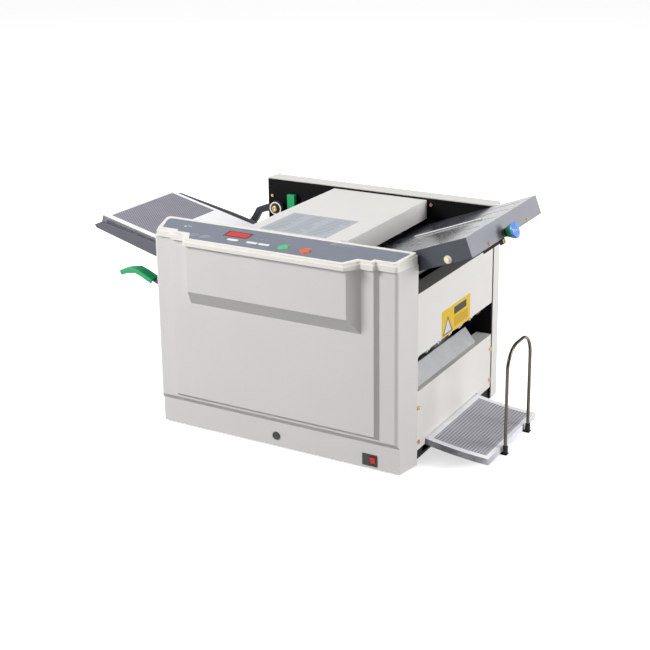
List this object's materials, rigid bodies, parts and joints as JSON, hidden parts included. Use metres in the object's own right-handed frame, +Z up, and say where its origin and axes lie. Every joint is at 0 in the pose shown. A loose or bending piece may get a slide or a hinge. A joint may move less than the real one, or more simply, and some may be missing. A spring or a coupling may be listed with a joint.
{
  "type": "paper folding machine",
  "caption": "Desktop buckle-plate paper folder with a feed table, roller folding unit, sloping upper fold plate, side delivery tray and wire paper stop.",
  "frame": {"origin": "centre of the four rubber feet, on the table", "axes": "+X towards the delivery side, -Y towards the operator, +Z up"},
  "size_m": [0.791, 0.4285, 0.3985],
  "materials": {
    "cover_grey": "fine textured moulding",
    "panel_paint": "semi-gloss powder coat",
    "hood_paint": "semi-gloss powder coat",
    "ivory_plastic": "satin",
    "label_film": "satin film",
    "display_red": "glossy filter",
    "green_plastic": "satin",
    "red_plastic": "satin",
    "white_plastic": "satin",
    "black_plastic": "satin",
    "black_steel": "satin black powder coat",
    "bright_steel": "ground",
    "brass_screw": "passivated",
    "bronze_bush": "sintered",
    "black_rubber": "matt",
    "roller_rubber": "ground",
    "pad_rubber": "matt",
    "warning_yellow": "satin film",
    "hood_film": "satin film",
    "plate_paint": "hammered blue-grey powder coat",
    "tray_plastic": "grained moulding",
    "arm_paint": "satin powder coat",
    "paper": "uncoated office paper",
    "board_green": "solder mask",
    "motor_paint": "satin",
    "blue_plastic": "satin",
    "zinc_steel": "zinc plated",
    "wire_finish": "black chrome"
  },
  "bodies": {
    "machine": {"front_cover": "cover_grey", "console_trim": "ivory_plastic", "console_label": "label_film", "display_window": "display_red", "control_board": "board_green", "switch_bezel": "black_plastic", "fuse_holder": "black_plastic", "rear_cover": "panel_paint", "power_inlet": "black_plastic", "front_frame": "black_steel", "rear_frame": "black_steel", "base_pan": "black_steel", "cross_rods": "bright_steel", "feet": "black_rubber", "bushes": "bronze_bush", "left_cover": "panel_paint", "upper_side_panel": "panel_paint", "lower_side_panel": "panel_paint", "safety_label": "warning_yellow", "panel_screws": "brass_screw", "paper_guides": "zinc_steel", "retard_pad": "pad_rubber", "lower_fold_plate": "plate_paint", "motor": "motor_paint", "drive_belts": "black_rubber", "output_tray": "black_steel", "output_stack": "paper"},
    "start": {"start_button": "green_plastic"},
    "stop": {"stop_button": "red_plastic"},
    "key_a": {"key_1": "white_plastic"},
    "key_b": {"key_2": "white_plastic"},
    "key_c": {"key_3": "white_plastic"},
    "rocker": {"switch_rocker": "red_plastic"},
    "motor_drive": {"motor_pulley": "bright_steel"},
    "roller_1": {"fold_roller_1": "roller_rubber"},
    "roller_2": {"fold_roller_2": "roller_rubber"},
    "roller_3": {"fold_roller_3": "roller_rubber"},
    "roller_4": {"fold_roller_4": "roller_rubber"},
    "pickup": {"pickup_roller": "roller_rubber"},
    "feed": {"feed_roller": "roller_rubber"},
    "delivery": {"delivery_roller": "roller_rubber"},
    "stars": {"star_wheels": "white_plastic"},
    "top_cover": {"hood": "hood_paint", "hood_label": "hood_film"},
    "feed_table": {"feed_tray": "tray_plastic", "tray_arms": "arm_paint", "feed_stack": "paper"},
    "guide_front": {"front_guide": "tray_plastic"},
    "guide_rear": {"rear_guide": "tray_plastic"},
    "lever": {"feed_lever": "bright_steel", "lever_grip": "green_plastic"},
    "tab": {"release_tab": "green_plastic"},
    "fold_plate": {"upper_fold_plate": "plate_paint", "plate_bracket": "black_steel", "plate_screws": "brass_screw"},
    "plate_stop": {"fold_stop": "zinc_steel"},
    "knob": {"adjust_knob": "green_plastic", "knob_cap": "blue_plastic"},
    "paper_stop": {"wire_stop": "wire_finish", "stop_feet": "black_rubber"}
  },
  "joints": [
    {"name": "start_press", "type": "slide", "parent": "machine", "child": "start", "axis": [0, 0.1011, -0.9949], "range_m": [0, 0.0012], "stiffness_N_per_m": 400, "springref_m": -0.0008},
    {"name": "stop_press", "type": "slide", "parent": "machine", "child": "stop", "axis": [0, 0.1011, -0.9949], "range_m": [0, 0.0012], "stiffness_N_per_m": 400, "springref_m": -0.0008},
    {"name": "key_a_press", "type": "slide", "parent": "machine", "child": "key_a", "axis": [0, 0.1011, -0.9949], "range_m": [0, 0.0012], "stiffness_N_per_m": 400, "springref_m": -0.0008},
    {"name": "key_b_press", "type": "slide", "parent": "machine", "child": "key_b", "axis": [0, 0.1011, -0.9949], "range_m": [0, 0.0012], "stiffness_N_per_m": 400, "springref_m": -0.0008},
    {"name": "key_c_press", "type": "slide", "parent": "machine", "child": "key_c", "axis": [0, 0.1011, -0.9949], "range_m": [0, 0.0012], "stiffness_N_per_m": 400, "springref_m": -0.0008},
    {"name": "rocker_switch", "type": "hinge", "parent": "machine", "child": "rocker", "pos_m": [0.1835, -0.197, 0.01875], "axis": [-1, 0, 0], "range_deg": [0, 8]},
    {"name": "main_drive", "type": "hinge", "parent": "machine", "child": "roller_2", "pos_m": [0.02, 0, 0.244], "axis": [0, 1, 0], "continuous": true},
    {"name": "roller_1_spin", "type": "hinge", "parent": "machine", "child": "roller_1", "pos_m": [0.02, 0, 0.276], "axis": [0, 1, 0], "continuous": true},
    {"name": "roller_3_spin", "type": "hinge", "parent": "machine", "child": "roller_3", "pos_m": [0.052, 0, 0.244], "axis": [0, 1, 0], "continuous": true},
    {"name": "roller_4_spin", "type": "hinge", "parent": "machine", "child": "roller_4", "pos_m": [0.052, 0, 0.212], "axis": [0, 1, 0], "continuous": true},
    {"name": "motor_spin", "type": "hinge", "parent": "machine", "child": "motor_drive", "pos_m": [-0.1, 0, 0.084], "axis": [0, 1, 0], "continuous": true},
    {"name": "pickup_spin", "type": "hinge", "parent": "machine", "child": "pickup", "pos_m": [-0.1486, 0, 0.2831], "axis": [0, 1, 0], "continuous": true},
    {"name": "feed_spin", "type": "hinge", "parent": "machine", "child": "feed", "pos_m": [-0.104, 0, 0.2779], "axis": [0, 1, 0], "continuous": true},
    {"name": "delivery_spin", "type": "hinge", "parent": "machine", "child": "delivery", "pos_m": [0.188, 0, 0.046], "axis": [0, 1, 0], "continuous": true},
    {"name": "star_spin", "type": "hinge", "parent": "machine", "child": "stars", "pos_m": [0.206, 0, 0.174], "axis": [0, 1, 0], "continuous": true},
    {"name": "hood_open", "type": "hinge", "parent": "machine", "child": "top_cover", "pos_m": [-0.074, 0, 0.351], "axis": [0, -1, 0], "range_deg": [0, 95]},
    {"name": "table_tilt", "type": "hinge", "parent": "machine", "child": "feed_table", "pos_m": [-0.196, 0, 0.317], "axis": [0, 1, 0], "range_deg": [0, 6]},
    {"name": "front_guide_slide", "type": "slide", "parent": "feed_table", "child": "guide_front", "axis": [0, -1, 0], "range_m": [0, 0.004]},
    {"name": "rear_guide_slide", "type": "slide", "parent": "feed_table", "child": "guide_rear", "axis": [0, 1, 0], "range_m": [0, 0.004]},
    {"name": "lever_turn", "type": "hinge", "parent": "machine", "child": "lever", "pos_m": [-0.196, 0, 0.18], "axis": [0, -1, 0], "range_deg": [0, 30]},
    {"name": "tab_turn", "type": "hinge", "parent": "machine", "child": "tab", "pos_m": [-0.172, 0, 0.312], "axis": [0, 1, 0], "range_deg": [0, 40]},
    {"name": "plate_pull", "type": "slide", "parent": "machine", "child": "fold_plate", "axis": [0.9336, 0, 0.3584], "range_m": [0, 0.05]},
    {"name": "knob_turn", "type": "hinge", "parent": "fold_plate", "child": "knob", "pos_m": [0.32532, -0.022, 0.37423], "axis": [0.9336, 0, 0.3584], "range_deg": [-3600, 3600]},
    {"name": "stop_travel", "type": "slide", "parent": "fold_plate", "child": "plate_stop", "axis": [0.9336, 0, 0.3584], "range_m": [-0.02, 0.02]},
    {"name": "wire_stop_lift", "type": "slide", "parent": "machine", "child": "paper_stop", "axis": [0, 0, 1], "range_m": [0, 0.03]}
  ],
  "couplings": [
    {"joint": "roller_1_spin", "follows": "main_drive", "ratio": -1},
    {"joint": "roller_3_spin", "follows": "main_drive", "ratio": -1},
    {"joint": "roller_4_spin", "follows": "main_drive", "ratio": 1},
    {"joint": "motor_spin", "follows": "main_drive", "ratio": 1},
    {"joint": "pickup_spin", "follows": "main_drive", "ratio": -1},
    {"joint": "feed_spin", "follows": "main_drive", "ratio": -1},
    {"joint": "delivery_spin", "follows": "main_drive", "ratio": 1},
    {"joint": "rear_guide_slide", "follows": "front_guide_slide", "ratio": 1},
    {"joint": "table_tilt", "follows": "lever_turn", "ratio": 0.2},
    {"joint": "knob_turn", "follows": "stop_travel", "rad_per_m": 3141.6}
  ]
}
